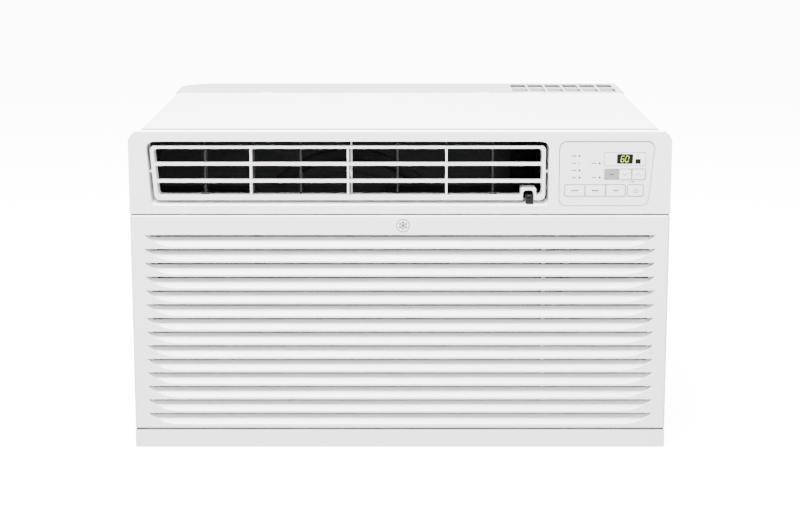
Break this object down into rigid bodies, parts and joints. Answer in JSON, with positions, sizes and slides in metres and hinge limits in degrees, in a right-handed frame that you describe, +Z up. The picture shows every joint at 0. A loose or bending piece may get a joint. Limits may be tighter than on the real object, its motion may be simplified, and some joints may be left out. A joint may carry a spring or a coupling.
{
  "type": "room air conditioner",
  "caption": "Through-the-wall room air conditioner: steel case, moulded front with tilting louvers, inlet grille, controls, coils, blower, fan and compressor.",
  "frame": {"origin": "on the ground plane, under the middle of the bounding box", "axes": "+Z up, +X to the right seen from the front, front face towards -Y"},
  "size_m": [0.61, 0.511, 0.367],
  "materials": {
    "white_plastic": "satin",
    "painted_steel": "satin",
    "grey_plastic": "matt",
    "galvanised_steel": "satin",
    "fin_aluminium": "satin",
    "copper": "polished",
    "black_paint": "satin",
    "black_rubber": "matt",
    "dark_plastic": "matt",
    "foam_plastic": "matt",
    "circuit_board": "satin",
    "overlay_plastic": "gloss",
    "grey_key": "gloss",
    "dark_window": "gloss"
  },
  "bodies": {
    "chassis": {"front_panel": "white_plastic", "cabinet_cover": "painted_steel", "rear_shroud": "grey_plastic", "base_pan": "galvanised_steel", "motor_bracket": "galvanised_steel", "fan_shroud": "galvanised_steel", "condenser_plate_left": "galvanised_steel", "condenser_plate_right": "galvanised_steel", "evaporator_plate": "galvanised_steel", "control_box": "galvanised_steel", "capacitor": "galvanised_steel", "cover_screw_left": "galvanised_steel", "cover_screw_right": "galvanised_steel", "condenser_coil": "fin_aluminium", "evaporator_coil": "fin_aluminium", "suction_pipe": "copper", "discharge_pipe": "copper", "capillary_tube": "copper", "compressor": "black_paint", "accumulator": "black_paint", "fan_motor": "black_paint", "compressor_foot_1": "black_rubber", "compressor_foot_2": "black_rubber", "compressor_foot_3": "black_rubber", "power_cord_bushing": "black_rubber", "discharge_duct": "dark_plastic", "terminal_cover": "dark_plastic", "scroll_housing": "foam_plastic", "blower_orifice": "foam_plastic", "partition": "foam_plastic", "drain_pan": "foam_plastic", "control_board": "circuit_board", "display_board": "circuit_board", "control_overlay": "overlay_plastic", "display_window": "dark_window", "receiver_window": "dark_window"},
    "fan_rotor": {"fan_shaft": "galvanised_steel", "blower_wheel": "dark_plastic", "condenser_fan": "dark_plastic"},
    "louver": {"louver_frame": "white_plastic"},
    "grille": {"inlet_grille": "white_plastic"},
    "filter": {"air_filter": "dark_plastic"},
    "vent_rod_body": {"vent_rod": "dark_plastic"},
    "vent_lever_body": {"vent_lever": "dark_plastic"},
    "vent_door_body": {"vent_door": "grey_plastic"},
    "link_left": {"link_bar_left": "dark_plastic"},
    "link_right": {"link_bar_right": "dark_plastic"},
    "vane_1": {"vertical_vane_1": "dark_plastic"},
    "vane_2": {"vertical_vane_2": "dark_plastic"},
    "vane_3": {"vertical_vane_3": "dark_plastic"},
    "vane_4": {"vertical_vane_4": "dark_plastic"},
    "vane_5": {"vertical_vane_5": "dark_plastic"},
    "vane_6": {"vertical_vane_6": "dark_plastic"},
    "key_set_body": {"key_set": "grey_key"},
    "key_down_body": {"key_down": "overlay_plastic"},
    "key_up_body": {"key_up": "overlay_plastic"},
    "key_timer_body": {"key_timer": "overlay_plastic"},
    "key_mode_body": {"key_mode": "overlay_plastic"},
    "key_fan_body": {"key_fan": "overlay_plastic"},
    "key_power_body": {"key_power": "overlay_plastic"}
  },
  "joints": [
    {"name": "fan_spin", "type": "hinge", "parent": "chassis", "child": "fan_rotor", "pos_m": [-0.06, 0, 0.2], "axis": [0, 1, 0], "continuous": true},
    {"name": "louver_tilt", "type": "hinge", "parent": "chassis", "child": "louver", "pos_m": [0, -0.243, 0.3196], "axis": [1, 0, 0], "range_deg": [-15, 15]},
    {"name": "vane_1_turn", "type": "hinge", "parent": "louver", "child": "vane_1", "pos_m": [-0.2205, -0.2365, 0.3196], "axis": [0, 0, 1], "range_deg": [-35, 35]},
    {"name": "vane_2_turn", "type": "hinge", "parent": "louver", "child": "vane_2", "pos_m": [-0.1665, -0.2365, 0.3196], "axis": [0, 0, 1], "range_deg": [-35, 35]},
    {"name": "vane_3_turn", "type": "hinge", "parent": "louver", "child": "vane_3", "pos_m": [-0.1126, -0.2365, 0.3196], "axis": [0, 0, 1], "range_deg": [-35, 35]},
    {"name": "vane_4_turn", "type": "hinge", "parent": "louver", "child": "vane_4", "pos_m": [-0.0027, -0.2365, 0.3196], "axis": [0, 0, 1], "range_deg": [-35, 35]},
    {"name": "vane_5_turn", "type": "hinge", "parent": "louver", "child": "vane_5", "pos_m": [0.0522, -0.2365, 0.3196], "axis": [0, 0, 1], "range_deg": [-35, 35]},
    {"name": "vane_6_turn", "type": "hinge", "parent": "louver", "child": "vane_6", "pos_m": [0.105, -0.2365, 0.3196], "axis": [0, 0, 1], "range_deg": [-35, 35]},
    {"name": "link_left_turn", "type": "hinge", "parent": "vane_1", "child": "link_left", "pos_m": [-0.2205, -0.2215, 0.3452], "axis": [0, 0, 1], "range_deg": [-35, 35]},
    {"name": "link_right_turn", "type": "hinge", "parent": "vane_6", "child": "link_right", "pos_m": [0.105, -0.2215, 0.3452], "axis": [0, 0, 1], "range_deg": [-35, 35]},
    {"name": "grille_open", "type": "hinge", "parent": "chassis", "child": "grille", "pos_m": [0, -0.2525, 0.0243], "axis": [1, 0, 0], "range_deg": [0, 55]},
    {"name": "filter_lift", "type": "slide", "parent": "chassis", "child": "filter", "axis": [0, 0, 1], "range_m": [0, 0.01]},
    {"name": "vent_pull", "type": "slide", "parent": "chassis", "child": "vent_rod_body", "axis": [0, -1, 0], "range_m": [0, 0.02]},
    {"name": "vent_lever_lift", "type": "hinge", "parent": "vent_rod_body", "child": "vent_lever_body", "pos_m": [0.1458, -0.252, 0.2925], "axis": [-1, 0, 0], "range_deg": [0, 90]},
    {"name": "vent_door_open", "type": "hinge", "parent": "chassis", "child": "vent_door_body", "pos_m": [0.1458, -0.13, 0.3425], "axis": [-1, 0, 0], "range_deg": [0, 35]},
    {"name": "key_set_press", "type": "slide", "parent": "chassis", "child": "key_set_body", "axis": [0, 1, 0], "range_m": [0, 0.0008], "stiffness_N_per_m": 300, "springref_m": -0.0006},
    {"name": "key_down_press", "type": "slide", "parent": "chassis", "child": "key_down_body", "axis": [0, 1, 0], "range_m": [0, 0.0008], "stiffness_N_per_m": 300, "springref_m": -0.0006},
    {"name": "key_up_press", "type": "slide", "parent": "chassis", "child": "key_up_body", "axis": [0, 1, 0], "range_m": [0, 0.0008], "stiffness_N_per_m": 300, "springref_m": -0.0006},
    {"name": "key_timer_press", "type": "slide", "parent": "chassis", "child": "key_timer_body", "axis": [0, 1, 0], "range_m": [0, 0.0008], "stiffness_N_per_m": 300, "springref_m": -0.0006},
    {"name": "key_mode_press", "type": "slide", "parent": "chassis", "child": "key_mode_body", "axis": [0, 1, 0], "range_m": [0, 0.0008], "stiffness_N_per_m": 300, "springref_m": -0.0006},
    {"name": "key_fan_press", "type": "slide", "parent": "chassis", "child": "key_fan_body", "axis": [0, 1, 0], "range_m": [0, 0.0008], "stiffness_N_per_m": 300, "springref_m": -0.0006},
    {"name": "key_power_press", "type": "slide", "parent": "chassis", "child": "key_power_body", "axis": [0, 1, 0], "range_m": [0, 0.0008], "stiffness_N_per_m": 300, "springref_m": -0.0006}
  ],
  "couplings": [
    {"joint": "vane_2_turn", "follows": "vane_1_turn", "ratio": 1},
    {"joint": "vane_3_turn", "follows": "vane_1_turn", "ratio": 1},
    {"joint": "link_left_turn", "follows": "vane_1_turn", "ratio": -1},
    {"joint": "vane_4_turn", "follows": "vane_6_turn", "ratio": 1},
    {"joint": "vane_5_turn", "follows": "vane_6_turn", "ratio": 1},
    {"joint": "link_right_turn", "follows": "vane_6_turn", "ratio": -1},
    {"joint": "vent_door_open", "follows": "vent_pull", "rad_per_m": 30.5}
  ]
}
